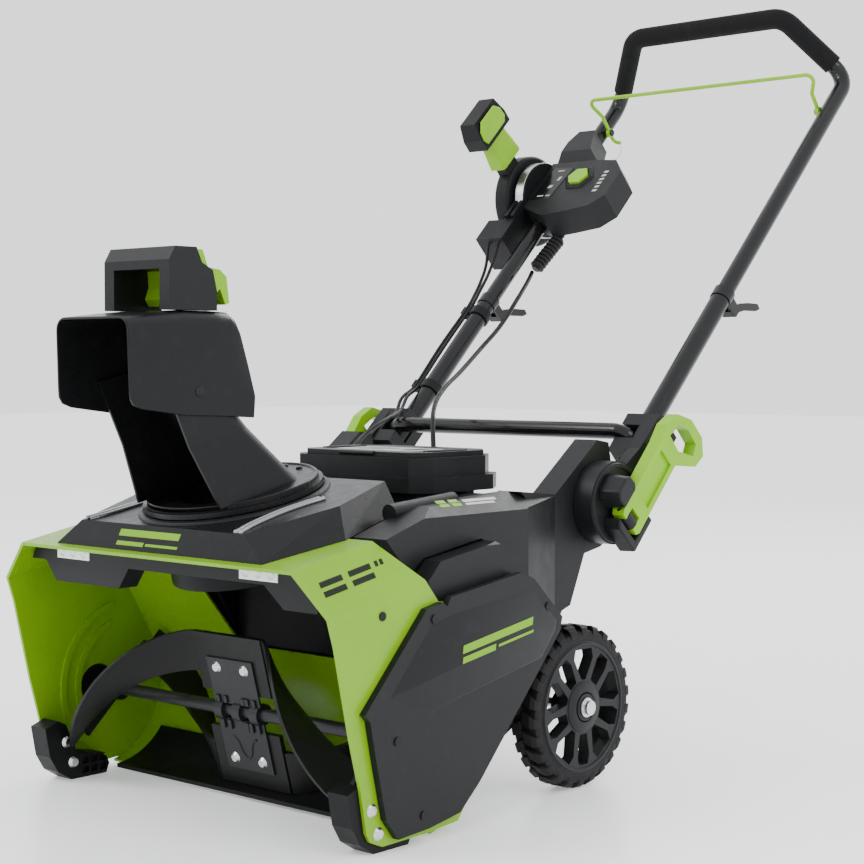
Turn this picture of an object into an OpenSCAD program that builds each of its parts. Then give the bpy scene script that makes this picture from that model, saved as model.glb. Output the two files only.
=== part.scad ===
/* [Auger housing] */
// Overall width of the green hood
hood_w = 566; // [560:2:572]
// Sheet thickness of the hood
hood_t = 4; // [3:0.5:5]
// Slope of the hood roof, rising to the rear
roof_tilt = 10.8; // [10:0.2:11.6]
// Radius swept by the auger
auger_r = 98; // [94:1:99]

/* [Chute] */
// Backward lean of the chute's turning axis
chute_tilt = 12.5; // [12:0.5:13]
// Outside radius of the turning ring
ring_r = 108; // [106:1:110]
// Width of the chute channel at its foot
chute_w = 148; // [144:2:152]
// Width of the deflector outside
deflector_w = 128; // [127:1:130]

/* [Wheels] */
// Wheel radius over the tread
wheel_r = 101; // [99:1:102]
// Tyre width
tyre_w = 38; // [34:1:40]
// Axle diameter
axle_d = 12; // [10:1:13]

/* [Handle] */
// Distance between the two handle tubes
tube_span = 428; // [426:1:430]
// Diameter of the upper tube
tube_d = 25; // [24:0.5:26]
// Slope of the handle tubes
handle_slope = 44.6; // [44:0.2:45]
// Diameter over the foam grip
foam_d = 31; // [29:1:33]
// Diameter of the bail wire
bail_d = 6; // [5:0.5:7]

/* [Hidden] */

$fn = 64;
eps = 0.05;
big = 900;
run_gap = 0.05;     // radial running clearance of shafts and pins
part_gap = 0.3;     // air between neighbouring mouldings
y_centre = 91.6;    // middle of the machine's length, measured from the wheel axle

green = "yellowgreen";
black = "dimgray";
dark = "darkslategray";
steel = "silver";

// The drawing frame has y = 0 over the wheel axle; machine() moves it to the part's own origin.
module machine() {
    translate([0, -y_centre, 0])
        children();
}

module both() {
    children();
    mirror([1, 0, 0])
        children();
}

// An outline drawn as [y, z] and extruded from x0 to x1
module side_slab(x0, x1) {
    translate([x0, 0, 0])
        rotate([90, 0, 90])
            linear_extrude(x1 - x0)
                children();
}

module x_rod(x0, x1, y, z, r) {
    translate([x0, y, z])
        rotate([0, 90, 0])
            cylinder(h = x1 - x0, r = r);
}

// ---------- bars and cables: one polyhedron swept along a path ----------
function unit(v) = v / norm(v);
function turn(p, i) = acos(unit(p[i] - p[i - 1]) * unit(p[i + 1] - p[i]));

// points along the arc that rounds corner i of a path
function corner_arc(p, i, bend, steps) =
    let (a = unit(p[i] - p[i - 1]), b = unit(p[i + 1] - p[i]), m = unit(b - (a * b) * a),
         phi = turn(p, i), start = p[i] - a * bend * tan(phi / 2))
    [for (k = [0:steps]) let (t = phi * k / steps) start + bend * (sin(t) * a + (1 - cos(t)) * m)];

function bent_path(p, bend, steps) =
    concat([p[0]], [for (i = [1:len(p) - 2]) each corner_arc(p, i, bend, steps)], [p[len(p) - 1]]);

function curve_point(p, t) =
    let (i = min(floor(t), len(p) - 2), u = t - i,
         a = p[max(i - 1, 0)], b = p[i], c = p[i + 1], d = p[min(i + 2, len(p) - 1)])
    0.5 * (2 * b + (c - a) * u + (2 * a - 5 * b + 4 * c - d) * u * u
           + (3 * b - a - 3 * c + d) * u * u * u);

function smooth_path(p, rings) = [for (k = [0:(len(p) - 1) * rings]) curve_point(p, k / rings)];

// across is any direction that the path never runs along
module swept(path, r, sides, across) {
    n = len(path) - 1;
    dirs = [for (k = [0:n]) unit(unit(path[min(k + 1, n)] - path[max(min(k, n - 1), 0)])
                                 + unit(path[max(k, 1)] - path[max(k - 1, 0)]))];
    ring = [for (k = [0:n]) let (u = unit(cross(across, dirs[k])), v = cross(dirs[k], u))
            for (s = [0:sides - 1]) path[k] + r * (cos(s * 360 / sides) * u + sin(s * 360 / sides) * v)];
    walls = [for (k = [0:n - 1]) for (s = [0:sides - 1])
             let (a = k * sides + s, b = k * sides + (s + 1) % sides)
             each [[a, a + sides, b], [b, a + sides, b + sides]]];
    start_cap = [[for (s = [0:sides - 1]) s]];
    end_cap = [[for (s = [sides - 1:-1:0]) n * sides + s]];
    polyhedron(points = ring, faces = concat(walls, start_cap, end_cap));
}

module bent_bar(p, r, bend, across) {
    swept(bent_path(p, bend, 8), r, 24, across);
}

module cable(p, r) {
    swept(smooth_path(p, 3), r, 8, [1, 0.1, 0]);
}

module rod_between(a, b, r) {
    z = unit(b - a);
    x = unit(cross([1, 0, 0], z));
    y = cross(z, x);
    multmatrix([[x[0], y[0], z[0], a[0]], [x[1], y[1], z[1], a[1]], [x[2], y[2], z[2], a[2]]])
        cylinder(h = norm(b - a), r = r);
}

// ---------- housing dimensions ----------
hood_half = hood_w / 2;
fold_lo = [-467, 261];          // lower fold of the hood at its front edge, [y, z]
fold_rise = 48;                 // height of the slanted facet
fold_in = 46;                   // how far the facet leans in
facet_angle = atan2(fold_rise, fold_in);
roof_len = 152;                 // roof depth at the lower fold
roof_mid_len = 125;             // roof depth across the flat top
hood_side = [[-467, 261], [-317, 289], [-295, 263], [-190, 250], [-170, 180], [-200, 90],
             [-262, 12], [-317, 8], [-386, 7], [-405, 15], [-411, 25], [-420, 75], [-435, 131],
             [-457, 229]];
auger_y = -330;
auger_z = 110;
shaft_r = 8;
scroll_r = 106;
scroll_t = 3;
scroll_half = hood_half - hood_t - part_gap;
belt_space = 264;               // the belt runs outboard of this, inside the hood plate
scroll_straight = 145;          // length of the flat upper part of the scroll wall
throat_half = 114;
throat_r = 90;
throat_t = 4;
chute_foot = [0, -342, 371];
shoe_bolt_at = [[-402, 49], [-392, 22]];
bolt_r = 3;
side_screw_at = [-386, 256];
cover_x = 292;
cover_screw_at = [[-312, 246], [-372, 120], [-330, 32], [-110, 240]];

module in_roof() {
    translate([0, fold_lo[0], fold_lo[1]])
        rotate([roof_tilt, 0, 0])
            children();
}

module in_chute() {
    translate(chute_foot)
        rotate([chute_tilt, 0, 0])
            children();
}

module throat_hole(r) {
    in_chute()
        translate([0, 0, -140])
            cylinder(h = 200, r = r);
}

module roof_sheet() {
    mitre_lo = hood_t * tan((90 - facet_angle) / 2);
    mitre_hi = hood_t * tan(facet_angle / 2);
    inner_lo = hood_half - hood_t;
    inner_hi = hood_half - fold_in - mitre_hi;
    flat_half = hood_half - fold_in;
    in_roof()
        difference() {
            translate([0, roof_len, 0])
                rotate([90, 0, 0])
                    linear_extrude(roof_len)
                        polygon([[hood_half, -mitre_lo], [hood_half, 0], [flat_half, fold_rise],
                                 [-flat_half, fold_rise], [-hood_half, 0], [-hood_half, -mitre_lo],
                                 [-inner_lo, -mitre_lo], [-inner_hi, fold_rise - hood_t],
                                 [inner_hi, fold_rise - hood_t], [inner_lo, -mitre_lo]]);
            translate([0, 0, -big / 4])
                linear_extrude(big / 2)
                    polygon([[hood_half, roof_len], [flat_half, roof_mid_len],
                             [-flat_half, roof_mid_len], [-hood_half, roof_len], [-hood_half, 250],
                             [hood_half, 250]]);
        }
}

module scroll_rib(r) {
    intersection() {
        translate([hood_half - hood_t - 3, auger_y + 50, auger_z])
            rotate([0, 90, 0])
                difference() {
                    cylinder(h = 3 + eps, r = r + 4);
                    translate([0, 0, -1])
                        cylinder(h = 6, r = r - 4);
                }
        side_slab(0, hood_half)
            polygon([[-440, 82], [-386, 82], [-386, 40], [-345, 40], [-330, 110], [-300, 230],
                     [-440, 225]]);
    }
}

module auger_hood() {
    color(green) machine() difference() {
        union() {
            both() side_slab(hood_half - hood_t, hood_half) polygon(hood_side);
            roof_sheet();
            both() scroll_rib(105);
            both() scroll_rib(82);
        }
        throat_hole(throat_r + part_gap);
        for (p = shoe_bolt_at)
            x_rod(-big / 2, big / 2, p[0], p[1], bolt_r + run_gap);
        x_rod(-big / 2, big / 2, side_screw_at[0], side_screw_at[1], bolt_r + run_gap);
        x_rod(-big / 2, big / 2, auger_y, auger_z, 26);
    }
}

// Sheet that follows the auger from low front, round the back and up to the roof
function arc_pts(r, a0, a1, n) = [for (k = [0:n]) let (a = a0 + (a1 - a0) * k / n)
                                  [auger_y + r * cos(a), auger_z + r * sin(a)]];

module scroll_profile(r0, r1, a0, a1) {
    difference() {
        translate([auger_y, auger_z])
            circle(r = r1);
        translate([auger_y, auger_z])
            circle(r = r0);
        translate([auger_y, auger_z])
            polygon(concat([[0, 0]], [for (k = [0:8]) let (a = a1 + (a0 + 360 - a1) * k / 8)
                                      300 * [cos(a), sin(a)]]));
    }
}

wall_top_angle = 30;

module scroll_housing() {
    color(green) machine() difference() {
        union() {
            side_slab(-scroll_half, scroll_half)
                scroll_profile(scroll_r, scroll_r + scroll_t, -76, wall_top_angle);
            side_slab(-scroll_half, scroll_half)
                translate([auger_y, auger_z])
                    rotate(wall_top_angle)
                        translate([scroll_r, -0.5])
                            square([scroll_t, scroll_straight]);
        }
        translate([0, big / 2, 0])
            rotate([90, 0, 0])
                linear_extrude(big)
                    polygon([[-100, 170], [-150, 320], [150, 320], [100, 170]]);
        side_slab(belt_space, hood_half)
            polygon([[auger_y + 20, 60], [-150, 60], [-150, 260], [auger_y + 20, 200]]);
        both() side_slab(250, hood_half)
            polygon([[-340, 256], [-262, 256], [-262, 330], [-340, 330]]);
    }
}

module chute_throat() {
    color(dark) machine() difference() {
        union() {
            in_chute() {
                translate([0, 0, -92])
                    cylinder(h = 90, r = throat_r);
                translate([0, 0, -12])
                    cylinder(h = 10, r = ring_r + 2);
            }
            side_slab(-throat_half, throat_half)
                polygon([[-236, 172], [-232, 172], [-232, 318], [-236, 318]]);
            both() side_slab(throat_half - throat_t, throat_half)
                polygon([[-239, 190], [-234, 172], [-234, 312], [-302, 312], [-302, 291]]);
        }
        throat_hole(throat_r - throat_t);
    }
}

module scraper_bar() {
    color(dark) machine()
        side_slab(-246, 246)
            scroll_profile(scroll_r - 5.5, scroll_r - 0.3, -87, -38);
}

shoe_outline = [[-435, 70], [-428, 33], [-416, 13], [-395, 0], [-340, 0], [-335, 12], [-342, 26],
                [-386, 33], [-403, 71], [-415, 77]];

module skid_shoe() {
    outer = hood_half - hood_t - part_gap;
    difference() {
        side_slab(248.5, outer) polygon(shoe_outline);
        for (y = [-378, -364, -350], z = [5, 17])
            translate([247, y, z])
                cube([6, 10, 8]);
        for (p = shoe_bolt_at)
            x_rod(240, 290, p[0], p[1], bolt_r + run_gap);
    }
}

module skid_shoe_l() { color(dark) machine() skid_shoe(); }
module skid_shoe_r() { color(dark) machine() mirror([1, 0, 0]) skid_shoe(); }

module dome_bolt(x0, x1, y, z) {
    x_rod(x0, x1, y, z, bolt_r);
    translate([x1, y, z]) rotate([0, 90, 0]) cylinder(h = 2.5, r1 = 7.5, r2 = 5);
    translate([x0 - 4, y, z]) rotate([0, 90, 0]) cylinder(h = 4, r1 = 5, r2 = 7.5);
}

module shoe_bolts() {
    color(steel) machine()
        both() for (p = shoe_bolt_at) dome_bolt(248.5, hood_half, p[0], p[1]);
}

lens_x = 163;
lens_w = 61;

module light_bar() {
    color(black) machine() difference() {
        union() {
            intersection() {
                side_slab(-260, 260)
                    polygon([[-454, 287], [-454, 306.8], [-425, 312.3], [-425, 290]]);
                rotate([90, 0, 0])
                    translate([0, 0, 300])
                        linear_extrude(300)
                            polygon([[-250, 280], [-231, 314], [231, 314], [250, 280]]);
            }
            for (side = [[-222, -200, -80, -61], [167, 200, 252, 248]])
                translate([0, -425, 0])
                    rotate([90, 0, 0])
                        linear_extrude(27)
                            polygon([[side[0], 288], [side[1], 262], [side[2], 262], [side[3], 288]]);
        }
        for (s = [-1, 1])
            translate([s * lens_x - lens_w / 2 - 0.1, -456, 290.9])
                cube([lens_w + 0.2, 8, 15.2]);
    }
}

module led_lenses() {
    color("white") machine()
        for (s = [-1, 1])
            translate([s * lens_x - lens_w / 2, -455, 291])
                difference() {
                    cube([lens_w, 7, 15]);
                    for (k = [0:2])
                        translate([lens_w * (k + 0.5) / 3, -1, 7.5])
                            rotate([-90, 0, 0])
                                cylinder(h = 4, r = 5.5);
                }
}

module shroud_form(inset) {
    hull() {
        in_roof()
            translate([0, 0, fold_rise + part_gap])
                linear_extrude(0.2)
                    polygon([[-180 + inset, 11 + inset], [180 - inset, 11 + inset],
                             [203 - inset, 118], [172 - inset, 240 - inset],
                             [-172 + inset, 240 - inset], [-203 + inset, 118]]);
        translate([0, -457, 340])
            rotate([chute_tilt, 0, 0])
                translate([0, 0, -inset])
                    linear_extrude(0.2)
                        polygon([[-142 + inset, inset], [142 - inset, inset], [174 - inset, 120],
                                 [150 - inset, 222 - inset], [-150 + inset, 222 - inset],
                                 [-174 + inset, 120]]);
    }
}

module top_shroud() {
    color(black) machine() difference() {
        shroud_form(0);
        translate([0, 0, -1])
            shroud_form(4);
        in_chute()
            translate([0, 0, -13])
                cylinder(h = 60, r = ring_r + 4);
        throat_hole(throat_r + 0.5);
    }
}

cover_outline = [[-422, 155], [-324, 258], [-298, 263], [-290, 258], [-284, 268], [-158, 284],
                 [-136, 275], [-82, 225], [-86, 209], [-175, 115], [-234, 53], [-268, 24],
                 [-319, 16], [-370, 13], [-389, 37], [-405, 105], [-414, 147]];
bump_outline = [[-303, 262], [-303, 286], [-283, 306], [-183, 321], [-128, 280], [-132, 265]];

module side_cover() {
    inner = hood_half + part_gap;
    difference() {
        union() {
            side_slab(inner, cover_x) polygon(cover_outline);
            difference() {
                side_slab(252, 276) polygon(bump_outline);
                translate([270, -340, 322])
                    rotate([0, 35, 0])
                        cube([60, 260, 60]);
            }
            side_slab(252, cover_x)
                polygon([[-284, 262], [-158, 276], [-140, 270], [-140, 258], [-284, 250]]);
        }
        side_slab(200, cover_x - 4)
            polygon([[-400, 150], [-318, 240], [-168, 246], [-105, 212], [-250, 62], [-360, 30],
                     [-385, 60]]);
        side_slab(hood_half - hood_t - 1, hood_half + part_gap)
            polygon(hood_side);
        for (p = cover_screw_at)
            x_rod(270, 300, p[0], p[1], bolt_r + run_gap);
    }
}

module side_cover_l() { color(black) machine() side_cover(); }
module side_cover_r() { color(black) machine() mirror([1, 0, 0]) side_cover(); }

module cover_screws() {
    color(dark) machine() both() {
        for (p = cover_screw_at) {
            x_rod(285, cover_x, p[0], p[1], bolt_r);
            x_rod(cover_x, cover_x + 1.5, p[0], p[1], 5);
        }
        x_rod(270, hood_half, side_screw_at[0], side_screw_at[1], bolt_r);
        x_rod(hood_half, hood_half + 1.5, side_screw_at[0], side_screw_at[1], 5);
    }
}

// ---------- fairings that rise into the handle arms ----------
hub_y = 74;
hub_z = 350;
hub_r = 53;
hub_x = 228;
hub_pin_r = 8;
hub_outer = 257;
arm_in = 192;
fairing_out = 250;
fairing_low = [[-345, 333], [-250, 362], [-130, 369], [-83, 371], [-14, 362], [0, 340],
               [30, 300], [46, 290], [22, 230], [-4, 206], [-46, 204], [-92, 214], [-128, 272],
               [-128, 300], [-183, 323], [-283, 308], [-300, 296], [-311, 296]];
arm_outline = [[-83, 371], [-14, 364], [73, 429], [97, 425], [112, 352], [104, 306], [80, 292],
               [46, 286], [17, 223], [-12, 214], [-54, 347]];

module fairing() {
    difference() {
        union() {
            difference() {
                side_slab(200, fairing_out) polygon(fairing_low);
                translate([206, -420, 372])
                    rotate([0, 24, 0])
                        cube([90, 420, 60]);
                translate([fairing_out - 2, -95, 180])
                    rotate([0, 0, 14])
                        cube([60, 200, 250]);
            }
            side_slab(arm_in, hub_x) polygon(arm_outline);
            x_rod(hub_x - 1, hub_x + 0.5, hub_y, hub_z, hub_r - 4);
            x_rod(hub_x, hub_outer - 2, hub_y, hub_z, hub_pin_r);
        }
        x_rod(190, 300, 0, wheel_r, wheel_r + 7);
    }
    translate([199, -285, 355])
        rotate([-85.5, 0, 0])
            cylinder(h = 110, r = 11);
}

module fairing_l() { color(black) machine() fairing(); }
module fairing_r() { color(black) machine() mirror([1, 0, 0]) fairing(); }

// ---------- body between the wheels ----------
body_half = 186;
bay_half = 104;
body_outline = [[-217, 62], [-217, 160], [-228, 182], [-228, 346], [-60, 364], [40, 350],
                [58, 300], [30, 150], [22, 84], [-22, 84], [-70, 60], [-130, 50]];
body_hollow = [[-213, 66], [-213, 160], [-224, 182], [-224, 342], [-62, 360], [36, 346.5],
               [54, 300], [26, 152], [19, 124], [-19, 124], [-72, 64], [-130, 54]];

module rear_housing() {
    color(dark) machine() difference() {
        side_slab(-body_half, body_half) polygon(body_outline);
        side_slab(-body_half + 4, body_half - 4) polygon(body_hollow);
        translate([-bay_half - 0.5, -134.5, 200])
            cube([2 * bay_half + 1, 111, 200]);
        x_rod(-250, 250, 0, wheel_r, axle_d / 2 + run_gap);
        x_rod(0, 250, motor_y, motor_z, 8);
    }
}

module box_plan(grow) {
    polygon([[-96 - grow, -140 - grow], [96 + grow, -140 - grow], [118 + grow, -118 - grow],
             [118 + grow, -18 + grow], [90 + grow, 22 + grow], [-90 - grow, 22 + grow],
             [-118 - grow, -18 + grow], [-118 - grow, -118 - grow]]);
}

pack_y = [-128, -30];
pack_half = 96;
pack_low = 262;
pack_top = 399;

module battery_box() {
    color(black) machine() difference() {
        union() {
            translate([0, 0, 385]) linear_extrude(24) box_plan(0);
            translate([0, 0, 366]) linear_extrude(19) box_plan(7);
            translate([-bay_half, -134, 240]) cube([2 * bay_half, 110, 130]);
        }
        translate([-pack_half - 1, pack_y[0] - 1, 245])
            cube([2 * pack_half + 2, pack_y[1] - pack_y[0] + 2, 200]);
        translate([-97, -29, 389])
            cube([194, 40, 60]);
    }
}

lid_hinge = [-134, 411];
module battery_lid() {
    color(black) machine() difference() {
        union() {
            translate([0, 0, 409.3])
                linear_extrude(6)
                    polygon([[-90, -132], [90, -132], [108, -114], [108, -10], [84, 16], [-84, 16],
                             [-108, -10], [-108, -114]]);
            x_rod(-30, 30, lid_hinge[0] + 2, lid_hinge[1] + 2, 3);
        }
        translate([-17, -4, 400]) cube([34, 30, 30]);
        x_rod(-40, 40, 2, 412.3, 1.5 + run_gap);
    }
}

module lid_latch() {
    color(dark) machine() {
        x_rod(-24, 24, 2, 412.3, 1.5);
        difference() {
            translate([-16, -3, 410.5]) cube([32, 17, 5]);
            translate([-8, 8, 409]) cube([16, 3, 10]);
        }
    }
}

module battery_pack() {
    color(dark) machine() {
        translate([-pack_half, pack_y[0], pack_low])
            cube([2 * pack_half, pack_y[1] - pack_y[0], pack_top - pack_low - 16]);
        translate([-70, pack_y[0] + 14, pack_top - 16 - eps])
            cube([140, 68, 16]);
    }
}

module motor_controller() {
    color(steel) machine() {
        translate([-60, -20, 160]) cube([120, 12, 150]);
        for (k = [0:7])
            translate([-56 + k * 15, -8.1, 165]) cube([4, 14, 140]);
    }
}

// ---------- drive ----------
motor_y = -150;
motor_z = 190;
pulley_x = 264.5;
pulley_w = 11;
auger_pulley_r = 62;
motor_pulley_r = 17;
belt_t = 3;
belt_len = norm([motor_y - auger_y, motor_z - auger_z]);
belt_angle = atan2(motor_z - auger_z, motor_y - auger_y);
belt_wrap = acos((auger_pulley_r - motor_pulley_r) / belt_len);

module motor_body() {
    color(steel) machine() difference() {
        union() {
            x_rod(60, 170, motor_y, motor_z, 48);
            x_rod(170, 178, motor_y, motor_z, 54);
            x_rod(50, 60, motor_y, motor_z, 30);
        }
        x_rod(40, 200, motor_y, motor_z, 6 + run_gap);
    }
}

module motor_pulley() {
    color(steel) machine() {
        x_rod(52, pulley_x + pulley_w, motor_y, motor_z, 6);
        x_rod(pulley_x, pulley_x + pulley_w, motor_y, motor_z, motor_pulley_r);
        x_rod(pulley_x, pulley_x + 1, motor_y, motor_z, motor_pulley_r + 2);
    }
}

// outline of the belt's outer or inner edge: tangent lines joined by the two pulley arcs
module belt_outline(grow) {
    hull_pts = concat(
        [for (k = [0:24]) let (a = belt_wrap + (360 - 2 * belt_wrap) * k / 24)
            (auger_pulley_r + grow) * [cos(a), sin(a)]],
        [for (k = [0:12]) let (a = -belt_wrap + 2 * belt_wrap * k / 12)
            [belt_len, 0] + (motor_pulley_r + grow) * [cos(a), sin(a)]]);
    translate([auger_y, auger_z])
        rotate(belt_angle)
            polygon(hull_pts);
}

module drive_belt() {
    color(dark) machine()
        side_slab(pulley_x + 1.5, pulley_x + pulley_w - 1)
            difference() {
                belt_outline(belt_t + 1);
                belt_outline(1);
            }
}

module auger_bearings() {
    color(dark) machine() {
        both() difference() {
            union() {
                x_rod(278.5, 286, auger_y, auger_z, 26 - run_gap);
                x_rod(hood_half + 0.1, 286, auger_y, auger_z, 36);
            }
            x_rod(200, 300, auger_y, auger_z, shaft_r + run_gap);
        }
    }
}

// ---------- auger ----------
paddle_angle = 105;             // the upper paddle leans 15 degrees to the front
wing_sweep = 118;
wing_start = 62;
wing_end = 240;
wing_t = 4;
wing_steps = 22;
wing_in_r = 46;
plate_t = 3;
paddle_in = 24;                 // how near the rubber comes to the shaft
bolt_x = 24;
bolt_radius_up = 56;
bolt_radius_low = 62;

module at_angle(a) {
    translate([0, auger_y, auger_z])
        rotate([a, 0, 0])
            children();
}

function wing_angle(k) = wing_sweep * pow(k / wing_steps, 1.25);
function wing_x(k) = wing_start + (wing_end - wing_start) * k / wing_steps;
function wing_point(k, r) = let (a = wing_angle(k)) [wing_x(k), r * cos(a), r * sin(a)];
function wing_normal(k, r) =
    let (k0 = max(k - 0.5, 0), k1 = min(k + 0.5, wing_steps),
         along = wing_point(k1, r) - wing_point(k0, r), a = wing_angle(k))
    unit(cross(along, [0, cos(a), sin(a)]));

// One curved wing: a ribbon that runs out along x while it winds about the shaft
module wing() {
    points = [for (k = [0:wing_steps]) let (n_in = wing_normal(k, wing_in_r) * wing_t / 2,
                                            n_out = wing_normal(k, auger_r) * wing_t / 2)
              each [wing_point(k, wing_in_r) - n_in, wing_point(k, auger_r) - n_out,
                    wing_point(k, auger_r) + n_out, wing_point(k, wing_in_r) + n_in]];
    walls = [for (k = [0:wing_steps - 1]) for (s = [0:3])
             let (a = 4 * k + s, b = 4 * k + (s + 1) % 4) each [[a, a + 4, b], [b, a + 4, b + 4]]];
    last = 4 * wing_steps;
    ends = [[0, 1, 2], [0, 2, 3], [last, last + 3, last + 2], [last, last + 2, last + 1]];
    polyhedron(points = points, faces = concat(walls, ends));
}

module spirals() {
    for (a = [paddle_angle, paddle_angle + 180])
        at_angle(a)
            wing();
    difference() {
        union() {
            x_rod(228, 258, auger_y, auger_z, 15);
            at_angle(paddle_angle + wing_sweep)
                translate([wing_end - 4, -72, -9])
                    cube([6, 144, 18]);
        }
        x_rod(200, 300, auger_y, auger_z, shaft_r);
    }
}

module auger_spiral_l() { color(black) machine() spirals(); }
module auger_spiral_r() { color(black) machine() mirror([1, 0, 0]) spirals(); }

module auger_shaft() {
    color(steel) machine()
        x_rod(-286, 286, auger_y, auger_z, shaft_r);
}

module auger_paddles() {
    color(black) machine() difference() {
        union() {
            for (a = [paddle_angle, paddle_angle + 180])
                at_angle(a)
                    translate([2 - wing_start, paddle_in, -plate_t])
                        cube([2 * wing_start - 4, auger_r - paddle_in, 2 * plate_t]);
        }
        auger_bolt_holes();
    }
}

module auger_bolt_holes() {
    for (s = [-1, 1]) {
        at_angle(paddle_angle)
            translate([s * bolt_x, bolt_radius_up, -20]) cylinder(h = 40, r = bolt_r);
        at_angle(paddle_angle + 180)
            translate([s * bolt_x, bolt_radius_low, -20]) cylinder(h = 40, r = bolt_r);
    }
}

module auger_bracket() {
    color(dark) machine() difference() {
        union() {
            at_angle(paddle_angle)
                translate([-40, 10, plate_t]) cube([80, 58, 2.5]);
            at_angle(paddle_angle + 180)
                translate([-40, 10, -plate_t - 2.5]) cube([80, 66, 2.5]);
            for (x = [-38, -7, 24])
                x_rod(x, x + 14, auger_y, auger_z, shaft_r + 5);
        }
        x_rod(-60, 60, auger_y, auger_z, shaft_r);
        auger_bolt_holes();
    }
}

module auger_bolts() {
    color(steel) machine() {
        for (s = [-1, 1]) {
            at_angle(paddle_angle)
                translate([s * bolt_x, bolt_radius_up, 0]) paddle_bolt();
            at_angle(paddle_angle + 180)
                translate([s * bolt_x, bolt_radius_low, 0]) mirror([0, 0, 1]) paddle_bolt();
        }
    }
}

module paddle_bolt() {
    head = plate_t + 2.5;
    translate([0, 0, -plate_t]) cylinder(h = head + plate_t, r = bolt_r);
    translate([0, 0, head]) cylinder(h = 3, r1 = 7, r2 = 4.5);
    translate([0, 0, -plate_t - 5]) cylinder(h = 5, r = 5.5, $fn = 6);
}

module auger_pulley() {
    color(steel) machine() difference() {
        union() {
            x_rod(pulley_x, pulley_x + pulley_w, auger_y, auger_z, auger_pulley_r);
            x_rod(pulley_x - 5, pulley_x, auger_y, auger_z, 18);
        }
        x_rod(pulley_x - 6, pulley_x + 3, auger_y, auger_z, 17);
        x_rod(pulley_x + 3, pulley_x + 20, auger_y, auger_z, shaft_r);
        for (k = [0:5])
            at_angle(k * 60)
                x_rod(pulley_x - 1, pulley_x + 20, 38, 0, 14);
    }
}

// ---------- wheels ----------
rim_r = 82;
wheel_in = 224;
rim_face = 266;

module axle() {
    color(steel) machine()
        x_rod(-274, 274, 0, wheel_r, axle_d / 2);
}

module wheel_nuts() {
    color(steel) machine()
        both() difference() {
            union() {
                x_rod(rim_face + 0.5, rim_face + 2, 0, wheel_r, 12);
                x_rod(rim_face + 2, rim_face + 8, 0, wheel_r, 9);
            }
            x_rod(200, 300, 0, wheel_r, axle_d / 2);
        }
}

module tyre() {
    grooves = 24;
    translate([wheel_in, 0, wheel_r])
        rotate([0, 90, 0])
            difference() {
                rotate_extrude($fn = 96)
                    polygon([[rim_r, 0], [95, 0], [wheel_r, 7], [wheel_r, tyre_w - 7], [95, tyre_w],
                             [rim_r, tyre_w]]);
                for (k = [0:grooves - 1])
                    rotate(k * 360 / grooves)
                        translate([95.5, -2.5, k % 2 == 0 ? -1 : tyre_w / 2 + 3])
                            cube([12, 5, tyre_w / 2 - 2]);
            }
}

module rim() {
    windows = 10;
    translate([wheel_in, 0, wheel_r])
        rotate([0, 90, 0])
            difference() {
                union() {
                    difference() {
                        cylinder(h = tyre_w, r = rim_r);
                        translate([0, 0, -1]) cylinder(h = tyre_w + 2, r = rim_r - 5);
                    }
                    translate([0, 0, tyre_w - 16]) cylinder(h = 16, r = rim_r - 2);
                    cylinder(h = rim_face - wheel_in, r = 17);
                }
                translate([0, 0, -1]) cylinder(h = 60, r = axle_d / 2 + run_gap);
                translate([0, 0, tyre_w - 2]) difference() {
                    cylinder(h = 20, r = 26);
                    translate([0, 0, -1]) cylinder(h = 22, r = 17);
                }
                for (k = [0:windows - 1])
                    rotate(k * 360 / windows)
                        translate([0, 0, -1])
                            linear_extrude(60)
                                rim_window(k % 2 == 0);
            }
}

module rim_window(narrow_out) {
    inner = narrow_out ? 7 : 4;
    outer = narrow_out ? 12 : 19;
    polygon([[34, -inner], [60, -outer], [72, -outer + 3], [72, outer - 3], [60, outer], [34, inner]]);
}

module tyre_l() { color(dark) machine() tyre(); }
module tyre_r() { color(dark) machine() mirror([1, 0, 0]) tyre(); }
module rim_left() { color(black) machine() rim(); }
module rim_right() { color(black) machine() mirror([1, 0, 0]) rim(); }

// ---------- chute ----------
chute_wall = 3;
chute_top_half = 60;
chute_break = 85;
chute_top = 165;

module chute_plan(half, front, rear, inset) {
    w = half - inset;
    r = 22 - inset;
    hull() {
        translate([-w, front - (inset > 0 ? 30 : 0)]) square([2 * w, 1]);
        for (s = [-1, 1])
            translate([s * (w - r), rear - inset - r]) circle(r = r, $fn = 32);
    }
}

module chute_channel(inset) {
    hull() {
        translate([0, 0, 10 - inset]) linear_extrude(1) chute_plan(chute_w / 2, -86, 48, inset);
        translate([0, 0, chute_break]) linear_extrude(1) chute_plan(chute_top_half, -104, -4, inset);
    }
    hull() {
        translate([0, 0, chute_break]) linear_extrude(1) chute_plan(chute_top_half, -104, -4, inset);
        translate([0, 0, chute_top - 1 + inset]) linear_extrude(1)
            chute_plan(chute_top_half, -122, -55, inset);
    }
}

deflector_pivot = [-451, 495];
deflector_pin_r = 5;

module chute() {
    color(black) machine() {
        in_chute() difference() {
            union() {
                cylinder(h = 6, r = ring_r);
                translate([0, 0, 6]) cylinder(h = 5, r = ring_r - 5);
                chute_channel(0);
            }
            chute_channel(chute_wall);
            translate([0, 0, -1]) cylinder(h = 12, r = 66);
        }
        both() x_rod(chute_top_half - 2, deflector_w / 2 - 0.2, deflector_pivot[0],
                     deflector_pivot[1], deflector_pin_r);
    }
}

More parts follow.
